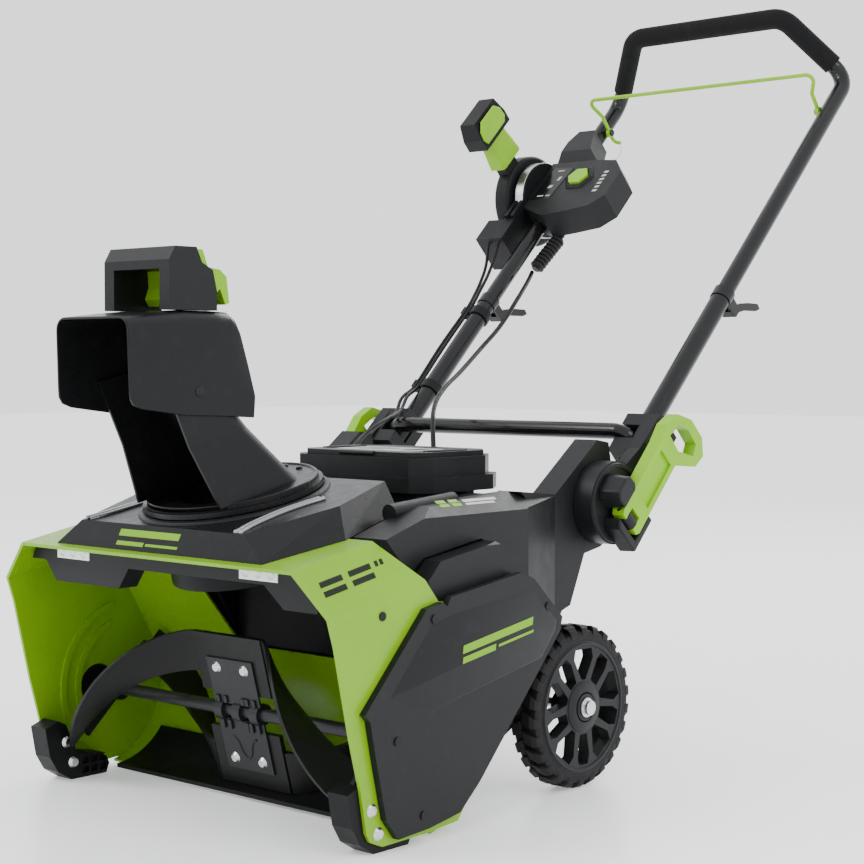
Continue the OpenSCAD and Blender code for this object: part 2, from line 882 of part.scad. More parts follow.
deflector_t = 3;
deflector_outline = [[-527, 474], [-540, 478], [-548, 492], [-552, 578], [-500, 585], [-402, 586],
                     [-388, 580], [-380, 560], [-372, 525], [-361, 491], [-364, 472], [-374, 463],
                     [-474, 469]];
deflector_inside = [[-560, 400], [-560, 574.5], [-500, 582], [-403, 583], [-391, 577.5],
                    [-383, 559], [-375, 524], [-364, 491], [-367, 400]];

module deflector() {
    half = deflector_w / 2;
    color(black) machine() difference() {
        side_slab(-half, half) polygon(deflector_outline);
        side_slab(-half + deflector_t, half - deflector_t) polygon(deflector_inside);
        x_rod(-big / 2, big / 2, deflector_pivot[0], deflector_pivot[1], deflector_pin_r + run_gap);
    }
}

grip_half = 57;
grip_leg = 17;
trigger_pin = [-430, 618];

module deflector_grip() {
    inner = grip_half - grip_leg;
    color(black) machine() {
        difference() {
            side_slab(-grip_half, grip_half)
                polygon([[-488, 586.3], [-488, 642], [-479, 657], [-448, 657], [-440, 640],
                         [-424, 632], [-418, 608], [-418, 586.3]]);
            side_slab(-inner, inner)
                polygon([[-500, 580], [-500, 632], [-447, 632], [-447, 680], [-400, 680], [-400, 580]]);
        }
        x_rod(-inner - 1, inner + 1, trigger_pin[0], trigger_pin[1], 3);
    }
}

module deflector_trigger() {
    half = grip_half - grip_leg - 0.4;
    color(green) machine() difference() {
        side_slab(-half, half)
            polygon([[-443, 600], [-438, 614], [-440, 640], [-438, 656], [-424, 656], [-416, 636],
                     [-398, 634], [-388, 626], [-384, 596], [-390, 594], [-398, 612], [-412, 600],
                     [-426, 592], [-438, 592]]);
        x_rod(-60, 60, trigger_pin[0], trigger_pin[1], 3 + run_gap);
    }
}

// ---------- handle ----------
tube_x = tube_span / 2;
tube_r = tube_d / 2;
sleeve_r = tube_r + 1.5;        // the lower tube takes the upper one inside it
joint_at = [388, 624];          // where the upper tube leaves the lower one
tube_foot = 325;

module in_tube() {
    translate([0, joint_at[0], joint_at[1]])
        rotate([handle_slope, 0, 0])
            children();
}

// local y runs up the tube, local z stands square to it on the upper side
module tube_rod(y0, y1, r) {
    translate([tube_x, y0, 0])
        rotate([-90, 0, 0])
            cylinder(h = y1 - y0, r = r);
}

clamp_pin = [-5, -29];          // pivot of the quick-release lever under the tube
cross_y = -293;
cross_z = 26;
cross_r = 11;

module lower_frame() {
    color(dark) machine() in_tube() {
        both() difference() {
            union() {
                tube_rod(-tube_foot, 0, sleeve_r);
                tube_rod(-14, 3, sleeve_r + 1.5);
                for (x = [-11, 7.4])
                    translate([tube_x + x, -12, -34]) cube([3.6, 14, 30]);
                x_rod(tube_x - 9, tube_x + 9, clamp_pin[0], clamp_pin[1], 2.5);
            }
            tube_rod(-tube_foot - 1, 10, tube_r + run_gap);
        }
        difference() {
            bent_bar([[-tube_x, cross_y, -2], [-tube_x, cross_y, cross_z], [tube_x, cross_y, cross_z],
                      [tube_x, cross_y, -2]], cross_r, 24, [0, 1, 0]);
            both() tube_rod(-tube_foot - 1, 10, sleeve_r - 0.5);
        }
    }
}

// the socket starts clear of the arm, so that the handle can swing over it
socket_outline = [[-325, -21], [-325, 26], [-262, 28], [-258, 20], [-258, -21]];
bridge_outline = [[-430, -34], [-462, 10], [-436, 52], [-325, 30], [-262, 28], [-258, -21],
                  [-330, -24]];

module bracket() {
    difference() {
        union() {
            x_rod(hub_x + 1, hub_outer, hub_y, hub_z, hub_r);
            in_tube() {
                side_slab(tube_x - 17, 250) polygon(socket_outline);
                side_slab(hub_x + 4, 250) polygon(bridge_outline);
            }
            in_lever() {
                translate([hub_outer - 1, -10, -10]) cube([lever_pin_x - hub_outer + 1, 20, 20]);
                translate([lever_pin_x, 0, -10]) cylinder(h = 20, r = 10);
                translate([lever_pin_x, 0, -20]) cylinder(h = 38, r = 4);
            }
        }
        x_rod(200, 263, hub_y, hub_z, hub_pin_r + run_gap);
        in_tube() tube_rod(-tube_foot, 0, sleeve_r);
        in_tube()
            translate([180, cross_y - cross_r - part_gap, -3])
                cube([46, 2 * (cross_r + part_gap), 45]);
    }
}

module handle_brackets() {
    color(black) machine() both() bracket();
}

// clips that hold the two cables to the far tube
clip_at = [-35, -195];

module cable_clips() {
    color(dark) machine() in_tube()
        for (y = clip_at)
            difference() {
                union() {
                    translate([-tube_x, y - 7, 0])
                        rotate([-90, 0, 0])
                            cylinder(h = 14, r = sleeve_r + 3);
                    translate([-tube_x - 27, y - 7, 0]) cube([23, 14, 14]);
                }
                translate([-tube_x, y - 8, 0]) rotate([-90, 0, 0]) cylinder(h = 16, r = sleeve_r);
                translate([-tube_x - 23.5, y - 9, 8.5]) cube([14.5, 18, 13]);
            }
}

// ---------- lock levers at the hubs ----------
lever_dir = 46;
lever_x = [264.5, 282];
lever_pivot = [74, 330];
lever_pin_x = 273;

module in_lever() {
    translate([0, lever_pivot[0], lever_pivot[1]])
        rotate([lever_dir, 0, 0])
            children();
}

module lock_lever() {
    in_lever() difference() {
        side_slab(lever_x[0], lever_x[1])
            polygon([[-8, -20], [-8, 18], [-2, 22], [110, 22], [139, 26], [164, 18], [180, -10],
                     [180, -45], [164, -64], [142, -60], [112, -24], [-2, -24]]);
        side_slab(lever_x[0] - 1, lever_x[1] + 1)
            polygon([[132, 12], [156, 6], [165, -14], [164, -40], [148, -46], [130, -16]]);
        side_slab(lever_x[1] - 4, lever_x[1] + 1)
            polygon([[32, 14], [106, 14], [106, -16], [32, -16]]);
        translate([lever_pin_x, 0, -40]) cylinder(h = 80, r = 4 + run_gap);
        translate([lever_x[0] - 1, -20, -10.4]) cube([20, 31, 20.8]);
    }
}

module lock_lever_l() { color(green) machine() lock_lever(); }
module lock_lever_r() { color(green) machine() mirror([1, 0, 0]) lock_lever(); }

// ---------- upper handle ----------
bend_y = 484;
bail_axis = [677.8, 909.8];
bail_pin_r = 3;

along = [0, cos(handle_slope), sin(handle_slope)];
tube_top = [tube_x, joint_at[0], joint_at[1]];
bend_at = tube_top + bend_y * along;
apex = [139, 666, 1057];
grip_start = bend_at + (apex - bend_at) * 0.22;
bar_bend = 34;

function far_side(p) = [-p[0], p[1], p[2]];

module upper_tube() {
    foot = tube_top - 120 * along;
    color(dark) machine() {
        bent_bar([foot, bend_at, apex, far_side(apex), far_side(bend_at), far_side(foot)],
                 tube_r, bar_bend, [0, 1, -1]);
        both() x_rod(191, 205, bail_axis[0], bail_axis[1], bail_pin_r);
        both() x_rod(191, 192.6, bail_axis[0], bail_axis[1], 5.5);
    }
}

module foam_grip() {
    inner_start = bend_at + (apex - bend_at) * 0.2;
    color(dark) machine() difference() {
        bent_bar([grip_start, apex, far_side(apex), far_side(grip_start)],
                 foam_d / 2, bar_bend, [0, 1, -1]);
        bent_bar([inner_start, apex, far_side(apex), far_side(inner_start)],
                 tube_r, bar_bend, [0, 1, -1]);
    }
}

box_outline = [[-238, 188], [-238, 352], [-228, 378], [-196, 378], [-180, 330], [-180, 300],
               [-108, 292], [-85, 264], [-85, 205], [-106, 182], [-150, 172], [-190, 165]];
button_at = [-160, 252];

module control_box() {
    color(black) machine() in_tube() difference() {
        translate([0, 0, -17]) linear_extrude(47) polygon(box_outline);
        mirror([1, 0, 0]) tube_rod(100, 400, tube_r);
        translate([button_at[0], button_at[1], 16]) cylinder(h = 30, r = 20);
        translate([-200, 300, 20]) rotate([20, 0, 0]) translate([-60, 0, 0]) cube([120, 120, 40]);
    }
}

module start_button() {
    color(green) machine() in_tube()
        translate([button_at[0], button_at[1], 18.5]) cylinder(h = 18, r = 19, $fn = 6);
}

stick_y = 243;
stick_z = -3;
stick_disc_r = 74;
stick_in = -262;
stick_out = -292;

module joystick_housing() {
    color(dark) machine() in_tube() difference() {
        union() {
            x_rod(-260, -238.3, stick_y, stick_z, 60);
            translate([-260, 128, -34]) cube([21.5, 90, 66]);
            translate([-292, 112, -34]) cube([53.5, 46, 66]);
            for (x = [-258, -246])
                translate([x, 160, 30]) cube([7, 66, 8]);
        }
        mirror([1, 0, 0]) tube_rod(100, 400, tube_r + 1);
        x_rod(-262, -230, stick_y, stick_z, 10 + run_gap);
    }
}

module joystick_lever() {
    color(green) machine() in_tube() {
        x_rod(stick_out, stick_in, stick_y, stick_z, stick_disc_r);
        x_rod(stick_in - 1, -242, stick_y, stick_z, 10);
        translate([-286, 226, 60]) cube([18, 30, 30]);
        hull() {
            translate([-290, 216, 88]) cube([30, 58, 4]);
            translate([-287, 220, 138]) cube([24, 40, 3]);
        }
    }
}

module joystick_grip() {
    color(dark) machine() in_tube()
        hull() {
            translate([-292, 198, 141.2]) cube([38, 78, 20]);
            translate([-289, 206, 162]) cube([30, 66, 26]);
        }
}

boot_top = [-188, 172, -27];
boot_low = [-200, 104, -30];

module cable_boot() {
    ribs = 8;
    run = boot_low - boot_top;
    color(dark) machine() in_tube() {
        rod_between(boot_top, boot_low, 8);
        for (k = [0:ribs - 1])
            rod_between(boot_top + run * (k + 0.25) / ribs, boot_top + run * (k + 0.75) / ribs, 12);
        rod_between(boot_top - unit(run) * 8, boot_top, 5);
    }
}

module qr_lever() {
    in_tube() difference() {
        side_slab(tube_x - 7, tube_x + 7)
            polygon([[-12, -24], [2, -24], [14, -32], [30, -46], [47, -64], [46, -73], [36, -68],
                     [14, -46], [0, -37], [-12, -34]]);
        x_rod(tube_x - 20, tube_x + 20, clamp_pin[0], clamp_pin[1], 2.5 + run_gap);
    }
}

module qr_lever_l() { color(dark) machine() qr_lever(); }
module qr_lever_r() { color(dark) machine() mirror([1, 0, 0]) qr_lever(); }

module bail() {
    color(green) machine() difference() {
        union() {
            bent_bar([[184, 691, 894], [196, 691, 894], [196, 657, 934.6], [213, 636, 960],
                      [-213, 636, 960], [-196, 657, 934.6], [-196, 691, 894], [-184, 691, 894]],
                     bail_d / 2, 10, [0, 1, 1]);
            both() x_rod(193, 199, bail_axis[0], bail_axis[1], 7);
        }
        both() x_rod(188, 202, bail_axis[0], bail_axis[1], bail_pin_r + run_gap);
    }
}

// ---------- cables ----------
cable_route_a = [[-270, 451, 717], [-264, 444, 698], [-256, 430, 676], [-248, 404, 650],
                 [-240, 378, 628], [-234, 359, 614], [-234, 349, 604], [-236, 300, 556],
                 [-234, 245, 501], [-234, 235, 491], [-224, 196, 475], [-206, 163, 454],
                 [-186, 128, 440], [-178, 97, 438], [-170, 50, 420], [-156, 8, 398],
                 [-142, -40, 379], [-137, -60, 367]];
cable_route_b = [[-250, 451, 717], [-247, 440, 698], [-242, 418, 668], [-236, 390, 640],
                 [-229, 370, 625], [-227, 359, 614], [-227, 349, 604], [-228, 300, 556],
                 [-227, 245, 501], [-227, 235, 491], [-214, 197, 477], [-196, 163, 458],
                 [-176, 128, 446], [-168, 97, 444], [-160, 50, 426], [-146, 8, 402],
                 [-133, -30, 380], [-130, -44, 368]];
power_route = [[-202, 478, 671], [-192, 460, 662], [-178, 430, 646], [-165, 396, 626],
               [-150, 336, 583], [-135, 271, 547], [-110, 197, 514], [-85, 131, 489],
               [-60, 84, 466], [-36, 54, 440], [-22, 40, 400], [-20, 38, 354]];

module chute_cables() {
    color(dark) machine() {
        cable(cable_route_a, 2.4);
        cable(cable_route_b, 2.4);
    }
}

module power_cable() {
    color(dark) machine()
        cable(power_route, 3.2);
}

auger_hood();
scroll_housing();
chute_throat();
scraper_bar();
skid_shoe_l();
skid_shoe_r();
shoe_bolts();
light_bar();
led_lenses();
top_shroud();
side_cover_l();
side_cover_r();
fairing_l();
fairing_r();
rear_housing();
battery_box();
motor_controller();
motor_body();
drive_belt();
axle();
wheel_nuts();
auger_bearings();
cover_screws();
chute_cables();
power_cable();
auger_shaft();
auger_spiral_l();
auger_spiral_r();
auger_paddles();
auger_bracket();
auger_bolts();
auger_pulley();
motor_pulley();
tyre_l();
tyre_r();
rim_left();  // rim_l
rim_right();  // rim_r
chute();
deflector();
deflector_grip();
deflector_trigger();
battery_lid();
lid_latch();
battery_pack();
lower_frame();
handle_brackets();
cable_clips();
lock_lever_l();
lock_lever_r();
upper_tube();
foam_grip();
control_box();
joystick_housing();
cable_boot();
qr_lever_l();
qr_lever_r();
bail();
start_button();
joystick_lever();
joystick_grip();
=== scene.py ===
import math

import bmesh
import bpy
from mathutils import Matrix, Vector


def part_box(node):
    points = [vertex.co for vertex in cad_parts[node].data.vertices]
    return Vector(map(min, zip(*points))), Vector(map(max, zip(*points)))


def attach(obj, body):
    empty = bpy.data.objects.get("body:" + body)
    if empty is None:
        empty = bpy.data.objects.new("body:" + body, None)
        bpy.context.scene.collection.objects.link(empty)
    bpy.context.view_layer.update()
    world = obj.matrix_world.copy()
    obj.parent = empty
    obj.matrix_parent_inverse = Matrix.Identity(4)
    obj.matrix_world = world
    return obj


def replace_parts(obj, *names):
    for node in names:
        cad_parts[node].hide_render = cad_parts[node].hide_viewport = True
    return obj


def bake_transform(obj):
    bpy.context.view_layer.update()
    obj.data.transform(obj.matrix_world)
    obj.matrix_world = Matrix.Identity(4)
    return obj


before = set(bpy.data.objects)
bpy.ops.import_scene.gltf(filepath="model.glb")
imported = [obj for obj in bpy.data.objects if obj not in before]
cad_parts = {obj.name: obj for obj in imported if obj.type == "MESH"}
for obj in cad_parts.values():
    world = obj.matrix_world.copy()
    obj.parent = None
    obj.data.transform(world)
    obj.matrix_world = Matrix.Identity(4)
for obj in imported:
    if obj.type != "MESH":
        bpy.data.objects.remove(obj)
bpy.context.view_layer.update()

# The drawing frame is in millimetres with y = 0 over the wheel axle.
lo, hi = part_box("axle")
SHIFT = (lo.y + hi.y) / 2


def P(x, y, z):
    return Vector((x / 1000, y / 1000 + SHIFT, z / 1000))


def local_frame(origin, slope):
    """A frame turned about X: local y runs up the slope, local z stands square to it."""
    return Matrix.Translation(P(*origin)) @ Matrix.Rotation(math.radians(slope), 4, "X")


TUBE = local_frame((0, 388, 624), 44.6)
LEVER = local_frame((0, 74, 330), 46)
CHUTE = local_frame((0, -342, 371), 12.5)
ROOF = local_frame((0, -467, 261), 10.8)
WORLD = local_frame((0, 0, 0), 0)
AUGER_AT = (0, -330, 110)
BRACKET_UP = local_frame(AUGER_AT, 105)
BRACKET_LOW = local_frame(AUGER_AT, 285)
FLIP = Matrix.Scale(-1, 4, (1, 0, 0))
# both sides of the machine, each with the matrix that takes a left-hand shape there
SIDES = (("l", Matrix.Identity(4)), ("r", FLIP))
# local z turned to look outward along +X
TO_X = Matrix.Rotation(math.pi / 2, 4, "Y")


def shift(x, y, z):
    """A move within a local frame, in mm."""
    return Matrix.Translation(Vector((x, y, z)) / 1000)


# ---------- materials ----------
BROAD_SCALE, SCUFF_SCALE = 9.0, 60.0
GLOSS_WANDER = 0.06
PALE_BLUE = (0.97, 0.98, 1.0, 1)


def node_in(tree, kind, **inputs):
    n = tree.nodes.new(kind)
    for key, value in inputs.items():
        n.inputs[key].default_value = value
    return n


def noise(tree, coords, scale, detail=4.0):
    n = node_in(tree, "ShaderNodeTexNoise", Scale=scale, Detail=detail, Roughness=0.6)
    tree.links.new(coords, n.inputs["Vector"])
    return n.outputs["Fac"]


def ramp(tree, fac, low, high, a=0.3, b=0.7):
    n = tree.nodes.new("ShaderNodeValToRGB")
    n.color_ramp.elements[0].position = a
    n.color_ramp.elements[1].position = b
    n.color_ramp.elements[0].color = low
    n.color_ramp.elements[1].color = high
    tree.links.new(fac, n.inputs["Fac"])
    return n.outputs["Color"]


def grey(v):
    return (v, v, v, 1)


def shade(color, k):
    return tuple(min(1.0, c * k) for c in color) + (1,)


def surface(name, color, rough, metal=0.0, grain=900.0, bump=0.08, wear=0.12, coat=0.0, vary=0.08,
            shine=0.5):
    """Paint, plastic or metal: tone and gloss that wander a little, fine grain and faint wear."""
    m = bpy.data.materials.new(name)
    m.use_nodes = True
    t = m.node_tree
    t.nodes.clear()
    out = t.nodes.new("ShaderNodeOutputMaterial")
    bsdf = t.nodes.new("ShaderNodeBsdfPrincipled")
    t.links.new(bsdf.outputs["BSDF"], out.inputs["Surface"])
    coords = t.nodes.new("ShaderNodeTexCoord").outputs["Object"]
    broad = noise(t, coords, BROAD_SCALE)
    fine = noise(t, coords, grain, 6.0)
    scuffs = noise(t, coords, SCUFF_SCALE, 8.0)
    tone = ramp(t, broad, shade(color, 1 - vary), shade(color, 1 + vary))
    worn = ramp(t, scuffs, grey(0.0), grey(wear), 0.56, 0.8)
    mix = t.nodes.new("ShaderNodeMix")
    mix.data_type = "RGBA"
    t.links.new(worn, mix.inputs["Factor"])
    t.links.new(tone, mix.inputs["A"])
    mix.inputs["B"].default_value = shade([c + 0.08 for c in color], 1.3)
    t.links.new(mix.outputs["Result"], bsdf.inputs["Base Color"])
    t.links.new(ramp(t, scuffs, grey(max(rough - GLOSS_WANDER, 0.03)), grey(rough + GLOSS_WANDER)),
                bsdf.inputs["Roughness"])
    bsdf.inputs["Metallic"].default_value = metal
    bsdf.inputs["Specular IOR Level"].default_value = shine
    bsdf.inputs["Coat Weight"].default_value = coat
    bsdf.inputs["Coat Roughness"].default_value = 0.12
    b = node_in(t, "ShaderNodeBump", Strength=bump, Distance=0.001)
    t.links.new(fine, b.inputs["Height"])
    t.links.new(b.outputs["Normal"], bsdf.inputs["Normal"])
    return m


MAT = {
    "green_paint": surface("green_paint", (0.17, 0.36, 0.003), 0.3, grain=260, bump=0.05, coat=0.12,
                           wear=0.03, shine=0.22),
    "green_plastic": surface("green_plastic", (0.20, 0.43, 0.004), 0.34, grain=1200, wear=0.03, shine=0.22),
    "black_plastic": surface("black_plastic", (0.0095, 0.0098, 0.0105), 0.4, grain=1400, bump=0.14,
                             shine=0.17, wear=0.06),
    "soft_black": surface("soft_black", (0.006, 0.0062, 0.0068), 0.46, grain=1600, bump=0.18,
                          shine=0.14, wear=0.04),
    "gloss_plastic": surface("gloss_plastic", (0.0065, 0.0067, 0.0072), 0.3, grain=1300, bump=0.1,
                             shine=0.18, wear=0.05),
    "rim_plastic": surface("rim_plastic", (0.011, 0.0113, 0.012), 0.42, grain=1400, bump=0.15, shine=0.18),
    "tube_paint": surface("tube_paint", (0.0045, 0.0045, 0.005), 0.2, grain=500, bump=0.05, coat=0.12,
                          shine=0.25, wear=0.04),
    "dark_steel": surface("dark_steel", (0.018, 0.0185, 0.02), 0.36, grain=700, metal=0.2, shine=0.25),
    "rubber": surface("rubber", (0.009, 0.009, 0.0095), 0.42, grain=1800, bump=0.2, wear=0.05, shine=0.18),
    "tyre": surface("tyre", (0.009, 0.009, 0.0095), 0.55, grain=1500, bump=0.3, wear=0.08, shine=0.16),
    "foam": surface("foam", (0.007, 0.007, 0.0075), 0.8, grain=2600, bump=0.6, wear=0.06, shine=0.12),
    "steel": surface("steel", (0.62, 0.63, 0.64), 0.28, metal=1.0, grain=1500, bump=0.1, wear=0.1),
    "aluminium": surface("aluminium", (0.55, 0.56, 0.58), 0.4, metal=1.0, grain=900, bump=0.2),
    "lens": surface("lens", (0.86, 0.88, 0.9), 0.16, grain=700, bump=0.05, wear=0.0, coat=0.8),
    "led": surface("led", (0.95, 0.96, 0.98), 0.2, grain=700, bump=0.05, wear=0.0, coat=0.8),
    "cable": surface("cable", (0.006, 0.006, 0.0065), 0.4, grain=1600, bump=0.15, shine=0.18),
    "pack": surface("pack", (0.03, 0.03, 0.032), 0.5, grain=1400, bump=0.2),
    "trim": surface("trim", (0.25, 0.255, 0.26), 0.16, metal=0.8, grain=900, bump=0.05, coat=0.5),
    "label": surface("label", (0.42, 0.44, 0.40), 0.45, grain=900, bump=0.05),
    "mark": surface("mark", (0.17, 0.37, 0.008), 0.45, grain=900, bump=0.05, shine=0.2),
    "dark_mark": surface("dark_mark", (0.006, 0.009, 0.004), 0.45, grain=900, bump=0.05, shine=0.15),
    "floor": surface("floor", (0.93, 0.93, 0.935), 0.3, grain=300, bump=0.01, wear=0.0, vary=0.01),
}

LOOK = {
    "green_paint": "auger_hood scroll_housing",
    "green_plastic": "deflector_trigger lock_lever_l lock_lever_r bail start_button joystick_lever",
    "black_plastic": "side_cover_l side_cover_r fairing_l fairing_r battery_box battery_lid"
                     " deflector_grip handle_brackets control_box light_bar lid_latch",
    "soft_black": "rear_housing chute_throat scraper_bar skid_shoe_l skid_shoe_r auger_bearings"
                  " joystick_housing joystick_grip cable_clips",
    "gloss_plastic": "top_shroud chute deflector",
    "rim_plastic": "rim_l rim_r",
    "tube_paint": "lower_frame upper_tube qr_lever_l qr_lever_r",
    "dark_steel": "auger_bracket auger_shaft",
    "rubber": "auger_spiral_l auger_spiral_r auger_paddles drive_belt cable_boot",
    "tyre": "tyre_l tyre_r",
    "foam": "foam_grip",
    "steel": "shoe_bolts wheel_nuts axle auger_bolts motor_pulley",
    "aluminium": "motor_body motor_controller auger_pulley",
    "lens": "led_lenses",
    "cable": "chute_cables power_cable cover_screws",
    "pack": "battery_pack",
}
EDGE_BEVEL, BEVEL_ANGLE = 0.4, 28
WELD_GAP, SOFT_ANGLE = 0.00002, 40
# bevel widths in mm, for the nodes whose edges are rounder than EDGE_BEVEL
BEVEL = {
    "auger_hood": 0.9, "scroll_housing": 0.5, "side_cover_l": 1.6, "side_cover_r": 1.6,
    "fairing_l": 3.0, "fairing_r": 3.0, "top_shroud": 1.8, "chute": 0.8, "deflector": 1.0,
    "deflector_grip": 5.0, "deflector_trigger": 1.6, "battery_box": 1.6, "battery_lid": 1.2,
    "handle_brackets": 1.8, "lock_lever_l": 2.0, "lock_lever_r": 2.0, "control_box": 3.5,
    "joystick_housing": 1.2, "joystick_lever": 1.4, "joystick_grip": 5.0, "rear_housing": 1.5,
    "skid_shoe_l": 1.5, "skid_shoe_r": 1.5, "tyre_l": 0.5, "tyre_r": 0.5, "rim_l": 1.2, "rim_r": 1.2,
    "auger_paddles": 0.8, "auger_bracket": 0.8, "start_button": 1.5, "light_bar": 0.8,
}


def bevel(obj, width, segments):
    b = obj.modifiers.new("bevel", "BEVEL")
    b.width = width / 1000
    b.segments = segments
    b.limit_method = "ANGLE"
    b.angle_limit = math.radians(BEVEL_ANGLE)
    b.use_clamp_overlap = True
    b.harden_normals = False


def shade_smooth(obj, angle=32):
    for p in obj.data.polygons:
        p.use_smooth = True
    obj.data.set_sharp_from_angle(angle=math.radians(angle))


def soften(obj):
    """Joins the seams of a faceted sheet, so that its twist shades as one surface."""
    for p in obj.data.polygons:
        p.use_smooth = True
    weld = obj.modifiers.new("weld", "WELD")
    weld.merge_threshold = WELD_GAP
    split = obj.modifiers.new("split", "EDGE_SPLIT")
    split.split_angle = math.radians(SOFT_ANGLE)
    split.use_edge_sharp = False


for look, names in LOOK.items():
    for name in names.split():
        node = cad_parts[name]
        node.data.materials.clear()
        node.data.materials.append(MAT[look])
        if name.startswith("auger_spiral"):
            soften(node)
            continue
        shade_smooth(node)
        width = BEVEL.get(name, EDGE_BEVEL)
        bevel(node, width, 3 if width > 0.6 else 2)

# ---------- pieces ----------
scene = bpy.context.scene
# local u, v, w of an outline drawn as [y, z] and raised along +X
SIDE = Matrix(((0, 0, 1, 0), (1, 0, 0, 0), (0, 1, 0, 0), (0, 0, 0, 1)))


def piece(name, bm, look, body, width=0.0, segments=2):
    """One mesh piece that rides on a body; width, in mm, rounds its edges."""
    bmesh.ops.recalc_face_normals(bm, faces=bm.faces)
    mesh = bpy.data.meshes.new(name)
    bm.to_mesh(mesh)
    bm.free()
    obj = bpy.data.objects.new(name, mesh)
    scene.collection.objects.link(obj)
    obj.data.materials.append(MAT[look])
    shade_smooth(obj)
    if width:
        bevel(obj, width, segments)
    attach(obj, body)
    return obj


def prism(bm, outline, w0, w1, matrix, inset=0.0):
    """A prism over an outline in mm; inset draws the far end in towards the middle."""
    n = len(outline)
    cu = sum(p[0] for p in outline) / n
    cv = sum(p[1] for p in outline) / n
    low = [bm.verts.new(matrix @ (Vector((u, v, w0)) / 1000)) for u, v in outline]
    high = []
    for u, v in outline:
        d = Vector((cu - u, cv - v))
        k = min(inset / max(d.length, 0.01), 0.9)
        high.append(bm.verts.new(matrix @ (Vector((u + d.x * k, v + d.y * k, w1)) / 1000)))
    bm.faces.new(low[::-1])
    bm.faces.new(high)
    for i in range(n):
        j = (i + 1) % n
        bm.faces.new((low[i], low[j], high[j], high[i]))


def block(bm, lo, hi, matrix):
    prism(bm, [(lo[0], lo[1]), (hi[0], lo[1]), (hi[0], hi[1]), (lo[0], hi[1])], lo[2], hi[2], matrix)


def lathe(bm, profile, matrix, steps=64, closed=False):
    """Turns a profile of (radius, height) in mm about the local Z axis."""
    rings = []
    for r, h in profile:
        if r < 0.01:
            rings.append([bm.verts.new(matrix @ (Vector((0, 0, h)) / 1000))] * steps)
            continue
        rings.append([bm.verts.new(matrix @ (Vector((r * math.cos(a), r * math.sin(a), h)) / 1000))
                      for a in [k * math.tau / steps for k in range(steps)]])
    pairs = list(zip(rings, rings[1:]))
    if closed:
        pairs.append((rings[-1], rings[0]))
    for a, b in pairs:
        for k in range(steps):
            j = (k + 1) % steps
            corners = []
            for v in (a[k], a[j], b[j], b[k]):
                if v not in corners:
                    corners.append(v)
            if len(corners) > 2:
                bm.faces.new(corners)


def along_x(x, y, z, side):
    """A frame at a point whose local Z looks outward along X."""
    return Matrix.Translation(P(x * side, y, z)) @ Matrix.Rotation(side * math.pi / 2, 4, "Y")


def sweep(name, points, radius, look, body, ends=None, matrix=None):
    """A round cord or wire along a smooth curve through the points; with ends it is left fixed in place
    and rides on no body, and otherwise it rides on one."""
    curve = bpy.data.curves.new(name, "CURVE")
    curve.dimensions = "3D"
    curve.bevel_depth = radius / 1000
    curve.bevel_resolution = 3
    curve.resolution_u = 8
    curve.use_fill_caps = True
    spline = curve.splines.new("BEZIER")
    spline.bezier_points.add(len(points) - 1)
    for knot, p in zip(spline.bezier_points, points):
        knot.co = P(*p) if matrix is None else matrix @ (Vector(p) / 1000)
        knot.handle_left_type = "AUTO"
        knot.handle_right_type = "AUTO"
    source = bpy.data.objects.new(name + "_path", curve)
    scene.collection.objects.link(source)
    graph = bpy.context.evaluated_depsgraph_get()
    mesh = bpy.data.meshes.new_from_object(source.evaluated_get(graph))
    bpy.data.objects.remove(source)
    mesh.name = name
    mesh.materials.clear()
    mesh.materials.append(MAT[look])
    obj = bpy.data.objects.new(name, mesh)
    scene.collection.objects.link(obj)
    shade_smooth(obj, 50)
    if ends:
        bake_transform(obj)
    else:
        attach(obj, body)
    return obj


def slanted(u, v, length, height, lean=0.3):
    """The outline of a plain bar whose ends lean over."""
    over = lean * height
    return [(u, v), (u + length, v), (u + length + over, v + height), (u + over, v + height)]


MARK_HEIGHT = 0.35


def marks(name, shapes, matrix, look, body, lift=0.0):
    """Plain printed shapes, barely raised, lift mm above the plane of the matrix."""
    bm = bmesh.new()
    for shape in shapes:
        prism(bm, shape, lift, lift + MARK_HEIGHT, matrix)
    return piece(name, bm, look, body)


# marks on the hood's shoulder, which leans in as it rises, and on the side covers
HOOD_HALF = 283
FACET_IN, FACET_RISE, FACET_RUN = 46, 48, 66.5
facet = Matrix(((0, -FACET_IN / FACET_RUN, FACET_RISE / FACET_RUN, 0), (1, 0, 0, 0),
                (0, FACET_RISE / FACET_RUN, FACET_IN / FACET_RUN, 0), (0, 0, 0, 1)))
hood_facet = ROOF @ shift(HOOD_HALF, 0, 0) @ facet
marks("hood_marks", [slanted(16, 24, 34, 7), slanted(19, 36, 34, 7), slanted(60, 24, 34, 7),
                     slanted(63, 36, 34, 7), slanted(104, 36, 5, 7), slanted(112, 36, 5, 7)],
      hood_facet, "dark_mark", "chassis")
cover_plane = Matrix.Translation(P(292, 0, 0)) @ SIDE
cover_tilt = cover_plane @ shift(-265, 200, 0) @ Matrix.Rotation(math.radians(9), 4, "Z")
COVER_LIFT = 1.1
cover_shapes = [slanted(0, 2, 126, 9), slanted(-2, -9, 58, 7), slanted(62, -7, 64, 3)]
marks("cover_marks_l", cover_shapes, cover_tilt, "mark", "chassis", lift=COVER_LIFT)
marks("cover_marks_r", cover_shapes, FLIP @ cover_tilt, "mark", "chassis",
      lift=COVER_LIFT)

